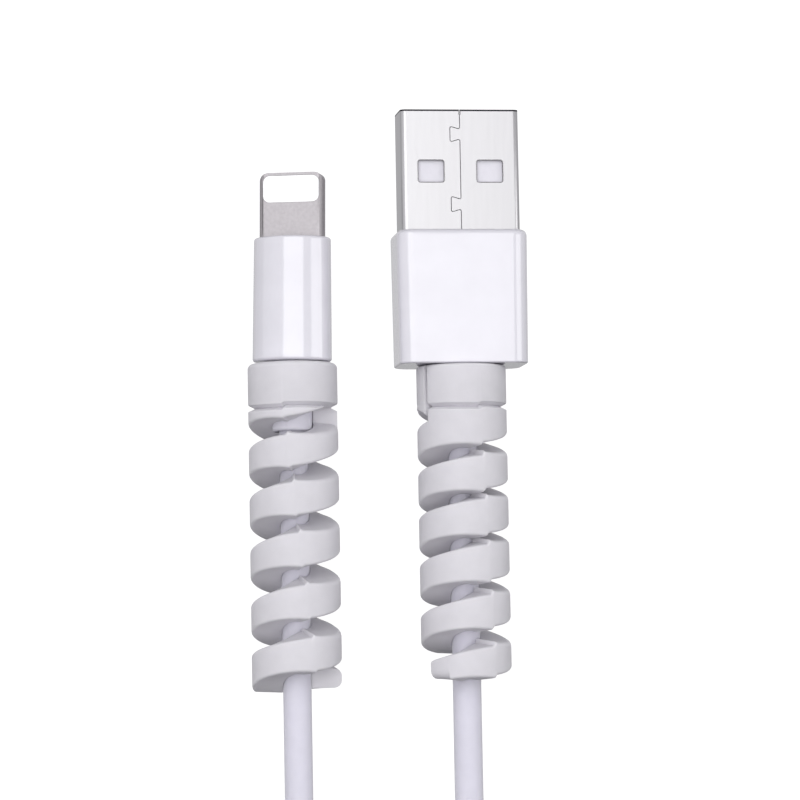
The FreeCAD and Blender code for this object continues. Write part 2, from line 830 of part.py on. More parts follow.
coil, coil_length, lower_end, upper_end = make_coil()
keep("cord_coil", coil)
keep("cord_tie", make_tie())
total_length = coil_length
phone_start = place(Part.Vertex(0, sheath_end, 0), phone_x, shift_y, 0, phone_yaw).Vertexes[0].Point
phone_rear = Vector(phone_x, shift_y, axis_height)
usb_start = Vector(usb_x, usb_y + sheath_end, axis_height)
routes = {
    "cord_usb_stretch": [usb_start] + cord_bends(usb_x, 1, usb_cord_heights, lower_end),
    "cord_phone_stretch":
        [phone_start, phone_rear] + cord_bends(phone_x, -1, phone_cord_heights, upper_end),
}
for name, route in routes.items():
    solid, length, radii = routed_tube(route, cord_diameter)
    keep(name, solid)
    total_length += length
    section = math.pi * cord_radius ** 2
    print(name, f"{length:.1f} mm, radii", [round(radius, 1) for radius in radii],
          f"volume over section times length {solid.Volume / (section * length):.4f}")
print(f"cord {total_length:.0f} mm, coil {coil_length:.0f} mm, radius {coil_inner_radius:.1f} to "
      f"{coil_outer_radius:.1f} mm, least gap to itself {coil_self_gap():.2f} mm, volume ratio "
      f"{coil.Volume / (math.pi * cord_radius ** 2 * coil_length):.4f}")

os.makedirs("parts", exist_ok=True)
for name, shape in parts.items():
    shape.exportStep(f"parts/{name}.step")
print(len(parts), "nodes")
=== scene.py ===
"""A charging cable on a pale floor: the solid model, with its looks built around it.

Lengths are in metres. Both plugs point along +Y and the camera looks down on them.
"""
import json
import math

import bmesh
import bpy
from mathutils import Matrix, Vector


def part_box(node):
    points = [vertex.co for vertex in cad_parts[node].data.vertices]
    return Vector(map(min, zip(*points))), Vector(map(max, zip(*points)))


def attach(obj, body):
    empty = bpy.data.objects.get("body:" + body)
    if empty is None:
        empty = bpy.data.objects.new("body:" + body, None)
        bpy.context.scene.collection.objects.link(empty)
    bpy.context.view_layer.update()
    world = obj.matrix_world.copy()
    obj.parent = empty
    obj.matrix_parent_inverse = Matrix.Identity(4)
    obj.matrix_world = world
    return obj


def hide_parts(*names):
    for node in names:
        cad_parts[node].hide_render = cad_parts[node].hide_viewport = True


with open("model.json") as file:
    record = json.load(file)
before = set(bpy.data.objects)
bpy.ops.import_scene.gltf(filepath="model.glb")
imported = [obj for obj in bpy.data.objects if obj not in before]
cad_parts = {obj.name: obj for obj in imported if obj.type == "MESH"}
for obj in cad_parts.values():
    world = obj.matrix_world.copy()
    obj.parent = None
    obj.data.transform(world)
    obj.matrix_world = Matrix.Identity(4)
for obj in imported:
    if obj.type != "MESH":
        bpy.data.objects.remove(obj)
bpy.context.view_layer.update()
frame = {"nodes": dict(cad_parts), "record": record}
nodes = frame["nodes"]
MM = 0.001

# Camera, from the photograph: its frame is as wide as this at the cords' height
camera_target = Vector((1.12 * MM, -0.01 * MM, 4.5 * MM))
camera_elevation = math.radians(85)
camera_distance = 0.4
camera_roll = math.radians(1.04)
frame_width = 80.4 * MM
sensor_width_in_mm = 36.0

# Surround: how bright it is on the left, on the right and below, and how it dims far and near
world_left = 0.95
world_right = 0.66
world_below = 0.6
world_tint = (1, 1, 1.02, 1)
horizon_blur = 0.02
far_dim_start = 0.5
far_dim_end = 0.95
far_dim_to = 0.2
near_dim_start = 0.1
near_dim_end = -0.75
near_dim_to = 0.05

# Softboxes and floor
softbox_distance = 0.8
floor_half_width = 30.0

# Rounded edges of the steel pieces
shell_edge = 0.07 * MM
tongue_edge = 0.08 * MM
edge_segments = 3
edge_angle = math.radians(35)
weld_distance = 0.0005 * MM

# Edges painted with shade: dark up to the first agreement of the rounded and the flat direction, plain
# from the second
shade_edge_agreement = (0.93, 0.99)

# Places on the shell, as shares of its width or length: its seam, and its mouth with the lip
seam_middle = 0.49
seam_half_width = 0.09
mouth_start = 0.97
lip_start = 0.99

# Materials: where two tones stand in the noise, and how far roughness strays from its middle
mottle_stops = (0.3, 0.7)
roughness_spread = 0.07

# Cord, on the same points as the model's
cord_diameter = 2.85 * MM
usb_route = [
    (7.298, 5.513, 4.5), (7.298, -39.84, 4.5), (7.298, -46.713, 4.5), (10.798, -52.913, 3.3),
    (16.804, -58.813, 2.1), (19.904, -64.413, 2.005), (19.904, -69.863, 2.005),
]
phone_route = [
    (-9.614, 6.212, 4.5), (-9.652, 4.013, 4.5), (-9.652, -39.84, 4.5), (-9.652, -46.713, 4.5),
    (-13.152, -52.913, 3.5), (-19.158, -58.813, 3.9), (-22.258, -64.413, 5.355),
    (-22.258, -69.863, 5.355),
]
coil_centre = Vector((-1.177 * MM, -72.713 * MM, 0))
coil_turns = 7.5
coil_points_per_turn = 16
coil_climb_turns = 0.5
coil_pitch = 3.35 * MM
coil_inner_radius = 8.519 * MM
coil_low = 2.005 * MM
cord_round_steps = 8
cord_line_steps = 8

# Tie
tie_width = 6.0 * MM
tie_thickness = 0.5 * MM
tie_corner = 1.9 * MM
tie_lift = 1.02 * tie_thickness
tie_start_share = 0.35
tie_end_share = 0.2
tie_climb_share = 1 / 3
tie_edge_share = 0.8
tie_corner_steps = 8
tie_overlap_steps = 12
tie_edge_steps = 2
tie_sharp_angle = 50

# Protectors
protector_turns = 5
protector_radius = 4.5 * MM
protector_bore = 1.44 * MM
counterbore_radius = 2.01 * MM
counterbore_depth = 6.95 * MM
counterbore_step = 0.01 * MM
bore_chamfer = 0.15 * MM
bore_edge = 0.1 * MM
slit_half_width = 0.24 * MM
protector_sharp_angle = 35
steps_per_turn = 240
corner_steps = 4

# The groove under a protector's collar: groove_fade is the share of a turn over which it runs out
groove_width = 0.65 * MM
groove_depth = 0.7 * MM
groove_fade = 0.05
groove_lip_height = 0.12 * MM
groove_lip_depth = 0.05 * MM
groove_clearance = 0.02 * MM
groove_least_side = 0.005 * MM

# A protector's gaps: gap_edge is the rounding of their edges, larger by gap_edge_gain on the far right
gap_top_leans = (-0.11, -0.1)
gap_low_leans = (0.08, 0.07)
gap_edge = 0.3 * MM
gap_edge_gain = 1.2
under_slope = 0.13 * MM
least_height = 0.04 * MM

# The slope of a ribbon's upper face: after slope_start turns it grows to its full size in slope_turns
slope_start = 1.3
slope_turns = 0.5
slope_least_share = 0.3

# The most of a ribbon's height that its edges take
lower_edge_share = 0.45
upper_edge_share = 0.4
under_slope_share = 0.3
bore_edge_share = 0.2

# The mould's seam, with angles in degrees, and how much shorter the flap would be after a whole turn
seam_ease = 3.0
flash_height = 0.12 * MM
flash_half_angle = 3.0
flap_fall = 11 * MM


# Camera
def make_camera():
    data = bpy.data.cameras.new("camera")
    data.sensor_width = sensor_width_in_mm
    data.lens = data.sensor_width * camera_distance / frame_width
    camera = bpy.data.objects.new("camera", data)
    bpy.context.scene.collection.objects.link(camera)
    back = Vector((0, -math.cos(camera_elevation), math.sin(camera_elevation)))
    up = Vector((0, math.sin(camera_elevation), math.cos(camera_elevation)))
    turn = Matrix((Vector((1, 0, 0)), up, back)).transposed()
    turn = turn @ Matrix.Rotation(-camera_roll, 3, "Z")
    camera.matrix_world = Matrix.Translation(camera_target + back * camera_distance) @ turn.to_4x4()
    bpy.context.scene.camera = camera


# Light and floor
def make_softbox(name, angle, width, length, radiance):
    """A soft rectangular light that faces the cable, angle degrees to the right of straight up."""
    data = bpy.data.lights.new(name, "AREA")
    data.shape = "RECTANGLE"
    data.size = width
    data.size_y = length
    data.energy = radiance * math.pi * width * length
    light = bpy.data.objects.new(name, data)
    bpy.context.scene.collection.objects.link(light)
    turn = Matrix.Rotation(math.radians(angle), 4, "Y")
    light.matrix_world = turn @ Matrix.Translation(Vector((0, 0, softbox_distance)))
    light.visible_camera = False


def set_range(spread, low, high, to_low, to_high):
    """Has values from low to high come out as values from to_low to to_high."""
    values = {"From Min": low, "From Max": high, "To Min": to_low, "To Max": to_high}
    for socket, value in values.items():
        spread.inputs[socket].default_value = value


def make_world():
    """Soft light that falls off to the right, the far side and the near side, and even from below."""
    world = bpy.data.worlds.new("studio")
    world.use_nodes = True
    tree = world.node_tree

    def ramp(source, output, low, high, to_low, to_high):
        spread = tree.nodes.new("ShaderNodeMapRange")
        set_range(spread, low, high, to_low, to_high)
        tree.links.new(source.outputs[output], spread.inputs["Value"])
        return spread

    place = tree.nodes.new("ShaderNodeTexCoord")
    split = tree.nodes.new("ShaderNodeSeparateXYZ")
    tree.links.new(place.outputs["Generated"], split.inputs["Vector"])
    across = ramp(split, "X", -1, 1, world_left, world_right)
    whole = ramp(split, "Z", -horizon_blur, horizon_blur, world_below, 0)
    tree.links.new(across.outputs["Result"], whole.inputs["To Max"])
    far = ramp(split, "Y", far_dim_start, far_dim_end, 1, far_dim_to)
    near = ramp(split, "Y", near_dim_end, near_dim_start, near_dim_to, 1)
    dimmed = whole.outputs["Result"]
    for side in (far, near):
        product = tree.nodes.new("ShaderNodeMath")
        product.operation = "MULTIPLY"
        tree.links.new(dimmed, product.inputs[0])
        tree.links.new(side.outputs["Result"], product.inputs[1])
        dimmed = product.outputs["Value"]
    background = tree.nodes["Background"]
    background.inputs["Color"].default_value = world_tint
    tree.links.new(dimmed, background.inputs["Strength"])
    bpy.context.scene.world = world


def make_floor():
    """A white sheet that is only looked at: the light from below comes through it."""
    mesh = bpy.data.meshes.new("floor")
    half = floor_half_width
    corners = [(-half, -half, 0), (half, -half, 0), (half, half, 0), (-half, half, 0)]
    mesh.from_pydata(corners, [], [(0, 1, 2, 3)])
    floor = bpy.data.objects.new("floor", mesh)
    bpy.context.scene.collection.objects.link(floor)
    mesh.materials.append(looks["floor"])
    floor.visible_diffuse = False
    floor.visible_glossy = False
    floor.visible_shadow = False


# Materials
def new_material(name, **values):
    """A material of one shader, with these values on the shader's own sockets."""
    material = bpy.data.materials.new(name)
    material.use_nodes = True
    shader = material.node_tree.nodes["Principled BSDF"]
    for socket, value in values.items():
        shader.inputs[socket.replace("_", " ")].default_value = value
    return material


def add_node(material, kind, **values):
    node = material.node_tree.nodes.new(kind)
    for socket, value in values.items():
        node.inputs[socket.replace("_", " ")].default_value = value
    return node


def join(material, source, output, target, socket):
    material.node_tree.links.new(source.outputs[output], target.inputs[socket])


def noise(material, size, detail=3.0, stretch=(1, 1, 1)):
    """Noise with features of that size, stretched by these factors along the axes."""
    place = material.node_tree.nodes.new("ShaderNodeTexCoord")
    mapping = add_node(material, "ShaderNodeMapping", Scale=[1 / factor for factor in stretch])
    texture = add_node(material, "ShaderNodeTexNoise", Scale=1 / size, Detail=detail)
    join(material, place, "Object", mapping, "Vector")
    join(material, mapping, "Vector", texture, "Vector")
    return texture


def mottle(material, low, high, size, detail=3.0, stretch=(1, 1, 1)):
    """Colour that wanders between two tones."""
    texture = noise(material, size, detail, stretch)
    ramp = material.node_tree.nodes.new("ShaderNodeValToRGB")
    for stop, position, colour in zip(ramp.color_ramp.elements, mottle_stops, (low, high)):
        stop.position = position
        stop.color = (*colour, 1)
    join(material, texture, "Fac", ramp, "Fac")
    join(material, ramp, "Color", material.node_tree.nodes["Principled BSDF"], "Base Color")


def roughen(material, low, high, size, detail=3.0, stretch=(1, 1, 1)):
    """Roughness that wanders between two values."""
    texture = noise(material, size, detail, stretch)
    spread = material.node_tree.nodes.new("ShaderNodeMapRange")
    set_range(spread, 0, 1, low, high)
    join(material, texture, "Fac", spread, "Value")
    join(material, spread, "Result", material.node_tree.nodes["Principled BSDF"], "Roughness")


def bump(material, size, height, detail=3.0, stretch=(1, 1, 1)):
    """A surface that rises and falls by that height."""
    texture = noise(material, size, detail, stretch)
    relief = add_node(material, "ShaderNodeBump", Strength=1.0, Distance=height)
    join(material, texture, "Fac", relief, "Height")
    join(material, relief, "Normal", material.node_tree.nodes["Principled BSDF"], "Normal")


def tone(red, green, blue):
    """A colour as it looks, from 0 to 255, turned to linear light."""
    return tuple(((c / 255 + 0.055) / 1.055) ** 2.4 for c in (red, green, blue))


def gloss_plastic(name, low, high, coat=1.0):
    material = new_material(name, Roughness=0.14, Coat_Weight=coat, Coat_Roughness=0.06, IOR=1.6,
                            Coat_IOR=1.6)
    mottle(material, low, high, size=3 * MM)
    bump(material, size=0.8 * MM, height=0.0006 * MM)
    return material


def matte_plastic(name, low, high, rough=0.5):
    material = new_material(name, Roughness=rough, IOR=1.47)
    mottle(material, low, high, size=0.6 * MM)
    bump(material, size=0.15 * MM, height=0.004 * MM)
    return material


def silicone(name, low, high, rough=0.6, depth=0.8 * MM, sheen=0.0):
    material = new_material(name, Roughness=rough, IOR=1.41, Subsurface_Weight=0.6,
                            Subsurface_Scale=depth, Subsurface_Radius=(1, 1, 1),
                            Sheen_Weight=sheen, Sheen_Roughness=0.4)
    mottle(material, low, high, size=1.5 * MM, detail=4.0)
    bump(material, size=0.12 * MM, height=0.006 * MM, detail=2.0)
    return material


def steel(name, low, high, rough, grain=(1, 12, 1), size=0.1 * MM):
    material = new_material(name, Metallic=1.0)
    stray = rough * roughness_spread
    mottle(material, low, high, size=4 * size, detail=4.0, stretch=grain)
    roughen(material, rough - stray, rough + stray, size=2 * size, stretch=grain)
    bump(material, size, height=0.0003 * MM, stretch=grain)
    return material


def paint_edge_shade(material, dark, width):
    """Painted shade along sharp edges and round the mouth's lip, standing in for dark reflections there,
    but not along the seam's pressed joint.
    """
    links = material.node_tree.links
    shader = material.node_tree.nodes["Principled BSDF"]
    plain = shader.inputs["Base Color"].links[0].from_node
    rounded = add_node(material, "ShaderNodeBevel", Radius=width)
    rounded.samples = 8
    flat = material.node_tree.nodes.new("ShaderNodeNewGeometry")
    agree = material.node_tree.nodes.new("ShaderNodeVectorMath")
    agree.operation = "DOT_PRODUCT"
    links.new(rounded.outputs["Normal"], agree.inputs[0])
    links.new(flat.outputs["Normal"], agree.inputs[1])
    near_edge = material.node_tree.nodes.new("ShaderNodeMapRange")
    set_range(near_edge, *shade_edge_agreement, 1, 0)
    links.new(agree.outputs["Value"], near_edge.inputs["Value"])
    place = material.node_tree.nodes.new("ShaderNodeTexCoord")
    split = material.node_tree.nodes.new("ShaderNodeSeparateXYZ")
    links.new(place.outputs["Generated"], split.inputs["Vector"])
    seam = math_node(material, "COMPARE", split.outputs["X"], seam_middle, seam_half_width)
    mouth = math_node(material, "GREATER_THAN", split.outputs["Y"], mouth_start)
    pressed = math_node(material, "SUBTRACT", seam, mouth)
    pressed.node.use_clamp = True
    # Painted shade: the dark edge mask, left off the seam's pressed joint, with the lip always dark
    cut = math_node(material, "SUBTRACT", near_edge.outputs["Result"], pressed)
    lip = math_node(material, "GREATER_THAN", split.outputs["Y"], lip_start)
    cut = math_node(material, "MAXIMUM", cut, lip)
    blend = material.node_tree.nodes.new("ShaderNodeMixRGB")
    blend.inputs["Color2"].default_value = (*dark, 1)
    links.new(cut, blend.inputs["Fac"])
    links.new(plain.outputs["Color"], blend.inputs["Color1"])
    links.new(blend.outputs["Color"], shader.inputs["Base Color"])


def math_node(material, operation, *inputs):
    """The output of a sum on sockets and numbers."""
    node = material.node_tree.nodes.new("ShaderNodeMath")
    node.operation = operation
    for socket, value in zip(node.inputs, inputs):
        if isinstance(value, float):
            socket.default_value = value
        else:
            material.node_tree.links.new(value, socket)
    return node.outputs["Value"]


looks = {
    "gloss_white": gloss_plastic("gloss_white", tone(219, 217, 225), tone(223, 221, 229)),
    "usb_steel": steel("usb_steel", tone(191, 190, 192), tone(194, 193, 195), 0.3),
    "tongue_steel": steel("tongue_steel", tone(170, 166, 169), tone(180, 176, 179), 0.5,
                          grain=(1, 1, 1), size=0.08 * MM),
    "tongue_insert": gloss_plastic("tongue_insert", tone(250, 250, 250), tone(254, 254, 254), coat=0.2),
    "white_insulator": matte_plastic("white_insulator", tone(221, 219, 227), tone(225, 223, 231)),
    "usb_contact_plating": steel("usb_contact_plating", (0.8, 0.6, 0.28), (0.88, 0.68, 0.34), 0.25),
    "phone_contact_plating": steel("phone_contact_plating", tone(250, 250, 250), tone(254, 254, 254),
                                   0.45),
    "inner_mould": matte_plastic("inner_mould", (0.6, 0.6, 0.57), (0.66, 0.66, 0.63)),
    "relief_elastomer": silicone("relief_elastomer", tone(218, 216, 226), tone(224, 222, 232)),
    "protector_silicone": silicone("protector_silicone", tone(213, 211, 216), tone(217, 215, 220),
                                   rough=0.5),
    "cord_jacket": silicone("cord_jacket", tone(213, 211, 222), tone(217, 215, 226),
                            depth=1.2 * MM, sheen=0.6),
    "tie_fabric": silicone("tie_fabric", tone(190, 190, 194), tone(206, 206, 210)),
    "board": matte_plastic("board", (0.02, 0.11, 0.04), (0.03, 0.14, 0.06)),
    "chip": matte_plastic("chip", (0.01, 0.01, 0.01), (0.02, 0.02, 0.02)),
    "capacitor_ceramic": matte_plastic("capacitor_ceramic", (0.35, 0.22, 0.12), (0.42, 0.28, 0.16)),
    "can_steel": steel("can_steel", (0.6, 0.6, 0.59), (0.68, 0.68, 0.67), 0.35),
    "wire_red": matte_plastic("wire_red", (0.45, 0.02, 0.02), (0.55, 0.03, 0.03)),
    "wire_white": matte_plastic("wire_white", (0.7, 0.7, 0.7), (0.78, 0.78, 0.78)),
    "wire_green": matte_plastic("wire_green", (0.02, 0.25, 0.05), (0.04, 0.32, 0.08)),
    "wire_black": matte_plastic("wire_black", (0.01, 0.01, 0.01), (0.03, 0.03, 0.03)),
    "floor": new_material("floor", Roughness=0.9, Specular_IOR_Level=0.1, Emission_Strength=1.0,
                          Emission_Color=(1, 1, 1, 1)),
}
# Painted shade on the USB shell: a dark band along its sharp edges and its mouth's lip, standing in for
# dark reflections and the shade inside the mouth
paint_edge_shade(looks["usb_steel"], tone(50, 48, 52), width=0.2 * MM)
mottle(looks["floor"], tone(90, 90, 92), tone(96, 96, 98), size=60 * MM, detail=2.0)


def dress(piece, slot):
    """Gives a piece its material, as the only one that it has."""
    piece.data.materials.clear()
    piece.data.materials.append(looks[slot])


def bevel(piece, width):
    """Rounds a piece's sharp edges a little."""
    weld = piece.modifiers.new("weld", "WELD")
    weld.merge_threshold = weld_distance
    edge = piece.modifiers.new("bevel", "BEVEL")
    edge.width = width
    edge.segments = edge_segments
    edge.limit_method = "ANGLE"
    edge.angle_limit = edge_angle
    edge.harden_normals = True


# Cord
def coil_point(turn):
    """Where the cord's centre is after that many turns, from the USB side's end of the coil."""
    middle = coil_turns / 2
    ease = coil_climb_turns / 2
    away = abs(turn - middle)
    if away < ease:
        away = away * away / (2 * ease) + ease / 2
    radius = coil_inner_radius + coil_pitch * away
    climb = min(max((turn - middle) / coil_climb_turns + 0.5, 0), 1)
    height = coil_low + coil_pitch * (1 - math.cos(math.pi * climb)) / 2
    angle = -2 * math.pi * turn
    return coil_centre + Vector((radius * math.cos(angle), radius * math.sin(angle), height))


def make_cord():
    """One line from inside the USB plug, round the coil and back into the phone plug."""
    points = [Vector(point) * MM for point in usb_route]
    steps = int(coil_turns * coil_points_per_turn)
    points += [coil_point(i / coil_points_per_turn) for i in range(steps + 1)]
    points += [Vector(point) * MM for point in reversed(phone_route)]
    curve = bpy.data.curves.new("cord", "CURVE")
    curve.dimensions = "3D"
    curve.bevel_depth = cord_diameter / 2
    curve.bevel_resolution = cord_round_steps
    curve.resolution_u = cord_line_steps
    curve.use_fill_caps = True
    spline = curve.splines.new("NURBS")
    spline.points.add(len(points) - 1)
    for target, point in zip(spline.points, points):
        target.co = (*point, 1)
    spline.order_u = 3
    spline.use_endpoint_u = True
    cord = bpy.data.objects.new("cord", curve)
    bpy.context.scene.collection.objects.link(cord)
    dress(cord, "cord_jacket")
    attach(cord, "cable")
    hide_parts("cord_usb_stretch", "cord_coil", "cord_phone_stretch")
    return cord


# Meshes from cross-sections
def mesh_object(name, points, faces, slot, sharp):
    """A mesh with smooth shading across edges that turn by less than sharp degrees."""
    mesh = bpy.data.meshes.new(name)
    mesh.from_pydata([tuple(p) for p in points], [], faces)
    mesh.validate()
    work = bmesh.new()
    work.from_mesh(mesh)
    bmesh.ops.recalc_face_normals(work, faces=work.faces)
    work.to_mesh(mesh)
    work.free()
    mesh.polygons.foreach_set("use_smooth", [True] * len(mesh.polygons))
    mesh.set_sharp_from_angle(angle=math.radians(sharp))
    piece = bpy.data.objects.new(name, mesh)
    bpy.context.scene.collection.objects.link(piece)
    dress(piece, slot)
    return piece


def bridge(faces, first, second):
    """Adds quads between two closed rows of point numbers."""
    for i in range(len(first)):
        j = (i + 1) % len(first)
        faces.append((first[i], first[j], second[j], second[i]))


# Protectors
class Spiral:
    """The sizes of one protector: a collar that is slit from end to end, and below it five turns.

    A turn is counted from the slit, down the cord from the plug. Depths are below the collar's top, and
    angles are in degrees from straight up to the right. tops and lows are the depths, in mm, of the gap's
    upper and lower edge, at the slit and then at each turn's front, which lies at the angle front.

    The mould's two halves met along a seam at the front and the back: each half's gaps are flat cuts
    that widen towards the outside, and the left half lies lower than the right by step, fully so from
    step_depth down. seams are the front seam's angles at the top and at the end.

    slope is how far the ribbon's upper face falls outwards, end_edge is the rounding of its end, and
    end_rise is how much less far down the end lies on the right. flap is the depth that a flap reaches
    beside the slit, and plain is the share of a turn there that has no groove.
    """

    def __init__(self, node, slit, front, tops, lows, length, collar, collar_edge, set_back, seams, step,
                 step_depth, slope, end_edge, end_rise, flap, plain):
        low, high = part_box(node)
        self.node = node
        self.x = (low.x + high.x) / 2
        self.z = (low.z + high.z) / 2
        self.top = high.y - set_back
        self.slit = slit
        self.front = ((slit - front) % 360) / 360
        self.tops = [MM * depth for depth in tops]
        self.lows = [MM * depth for depth in lows]
        self.pitch = (self.tops[-1] - self.tops[1]) / (len(tops) - 2)
        self.length = length
        self.collar = collar
        self.collar_edge = collar_edge
        self.groove_middle = collar + groove_width / 2
        self.seams = seams
        self.step = step
        self.step_depth = step_depth
        self.slope = slope
        self.end_edge = end_edge
        self.end_rise = end_rise
        self.flap = flap
        self.plain = plain

    def between(self, depths, turn):
        """A depth at a turn, from those at the slit and at each turn's front."""
        index = 0 if turn < self.front else min(int(turn - self.front) + 1, len(depths) - 2)
        start = 0 if index == 0 else self.front + index - 1
        span = self.front if index == 0 else 1
        return depths[index] + (depths[index + 1] - depths[index]) * (turn - start) / span

    def seam_angle(self, turn, depth):
        """How far round from the front's seam a place is, in degrees, positive to the right."""
        share = min(depth / self.length, 1)
        seam = self.seams[0] + (self.seams[1] - self.seams[0]) * share
        return (self.slit - 360 * turn - seam + 180) % 360 - 180

    def cut(self, depths, turn, leans):
        """The outer edge of a flat cut that leans by so much a length in the left and right halves."""
        depth = self.between(depths, turn)
        angle = math.radians(self.seam_angle(turn, depth))
        side = 1 if angle > 0 else -1
        flat = self.pitch * (angle / (2 * math.pi) - side * (1 - math.cos(angle)) / 4)
        lean = leans[0] if side < 0 else leans[1]
        return depth + flat + lean * protector_radius * abs(math.sin(angle))

    def gap_top(self, turn):
        return self.cut(self.tops, turn, gap_top_leans)

    def gap_low(self, turn):
        """The gap's lower edge, with a thin ridge of flash that stands on it at the seam."""
        depth = self.cut(self.lows, turn, gap_low_leans)
        away = abs(self.seam_angle(turn, depth)) / flash_half_angle
        return depth - flash_height * max(1 - away, 0)

    def end(self, turn):
        """How far down the ribbon's flat end lies: a little less in the right half."""
        angle = self.seam_angle(turn, self.length)
        return self.length - self.end_rise * max(math.sin(math.radians(angle)), 0)

    def seam_shift(self, turn, depth):
        """How far the left half lies lower than the right, most of all beside the seam at the front."""
        angle = self.seam_angle(turn, depth)
        if angle > 0:
            return 0.0
        return self.step * min(-angle / seam_ease, 1) * max(math.cos(math.radians(angle)), 0)

    def point(self, radius, turn, depth):
        angle = math.radians(self.slit - 360 * turn)
        down = depth + self.seam_shift(turn, depth) * min(depth / self.step_depth, 1)
        return Vector((self.x + radius * math.sin(angle), self.top - down,
                       self.z + radius * math.cos(angle)))


def groove_cut(spiral, turn):
    """How deep the groove is: it runs out in a plain stretch beside the slit."""
    return groove_depth * min(max((turn - spiral.plain) / groove_fade, 0), 1)


def groove_radius(spiral, turn, depth):
    """The outer radius at a depth below the collar's top, near the groove."""
    away = abs(depth - spiral.groove_middle) / (groove_width / 2)
    return protector_radius - groove_cut(spiral, turn) * max(1 - away, 0)


def bore_radius(depth):
    return counterbore_radius if depth < counterbore_depth else protector_bore


def bore_wall(upper, lower):
    """Two points up the bore's wall, one on each side of the counterbore's end where it lies between."""
    step = counterbore_step
    middle = min(max(counterbore_depth, upper + 2 * step), lower - 2 * step)
    return [(bore_radius(middle + step), middle + step), (bore_radius(middle - step), middle - step)]


def rounded_corner(radius, depth, edge):
    """Points down and in round an outer edge whose two sides meet at radius and depth."""
    points = []
    for i in range(corner_steps + 1):
        angle = math.radians(90 * i / corner_steps)
        points.append((radius - edge + edge * math.cos(angle), depth - edge + edge * math.sin(angle)))
    return points


def lower_chain(spiral, turn, upper_bore):
    """From the outer side down round the ribbon's lower edge, in to the bore and up its wall."""
    cut = spiral.gap_top(turn)
    above = spiral.gap_low(turn - 1)
    if turn <= 1:
        cut = max(cut, spiral.flap - flap_fall * turn)
        above = spiral.groove_middle
    flat = cut > spiral.end(turn)
    height = max(min(cut, spiral.end(turn)) - above, least_height)
    depth = above + height
    edge = min(spiral.end_edge if flat else gap_edge, height * lower_edge_share)
    chain = rounded_corner(groove_radius(spiral, turn, depth - edge), depth, edge)
    inner = depth if flat else depth + min(under_slope, height * under_slope_share)
    bore = bore_radius(inner)
    soft = min(bore_edge, height * bore_edge_share)
    chain += [(bore + soft, inner), (bore, inner - soft)]
    return chain + bore_wall(upper_bore, inner - soft)


def collar_chain(spiral, turn, split_outer, split_inner):
    """From the bore up round the collar and its groove and down the outer side."""
    edge = spiral.collar_edge
    steps = 2 * corner_steps
    chain = [(counterbore_radius, split_inner), (counterbore_radius, bore_chamfer),
             (counterbore_radius + bore_chamfer, 0)]
    for i in range(steps + 1):
        angle = math.radians(90 - 90 * i / steps)
        chain.append((protector_radius - edge + edge * math.cos(angle), edge - edge * math.sin(angle)))
    chain.append((protector_radius, spiral.collar - groove_lip_height))
    chain.append((protector_radius - groove_lip_depth, spiral.collar))
    chain.append((protector_radius - groove_cut(spiral, turn), spiral.groove_middle))
    low = min(spiral.collar + groove_width, split_outer - groove_clearance)
    low = max(low, spiral.groove_middle + groove_least_side)
    chain.append((groove_radius(spiral, turn, low), low))
    chain.append((groove_radius(spiral, turn, split_outer), split_outer))
    return chain


def upper_chain(spiral, turn):
    """From the bore out along the ribbon's upper face, which falls outwards, and round its edge."""
    outer = spiral.gap_low(turn - 1)
    slope = spiral.slope * min(max((turn - slope_start) / slope_turns, slope_least_share), 1)
    inner = outer - slope
    bore = bore_radius(inner)
    to_right = max(math.sin(math.radians(spiral.seam_angle(turn, outer))), 0)
    height = min(spiral.gap_top(turn), spiral.end(turn)) - outer
    edge = min(gap_edge * (1 + gap_edge_gain * to_right), height * upper_edge_share)
    start = outer - slope * edge / (protector_radius - protector_bore)
    chain = [(bore, inner + bore_edge), (bore + bore_edge, inner)]
    for i in range(corner_steps + 1):
        angle = math.radians(90 * i / corner_steps)
        chain.append((protector_radius - edge + edge * math.sin(angle),
                      start + edge - edge * math.cos(angle)))
    return chain


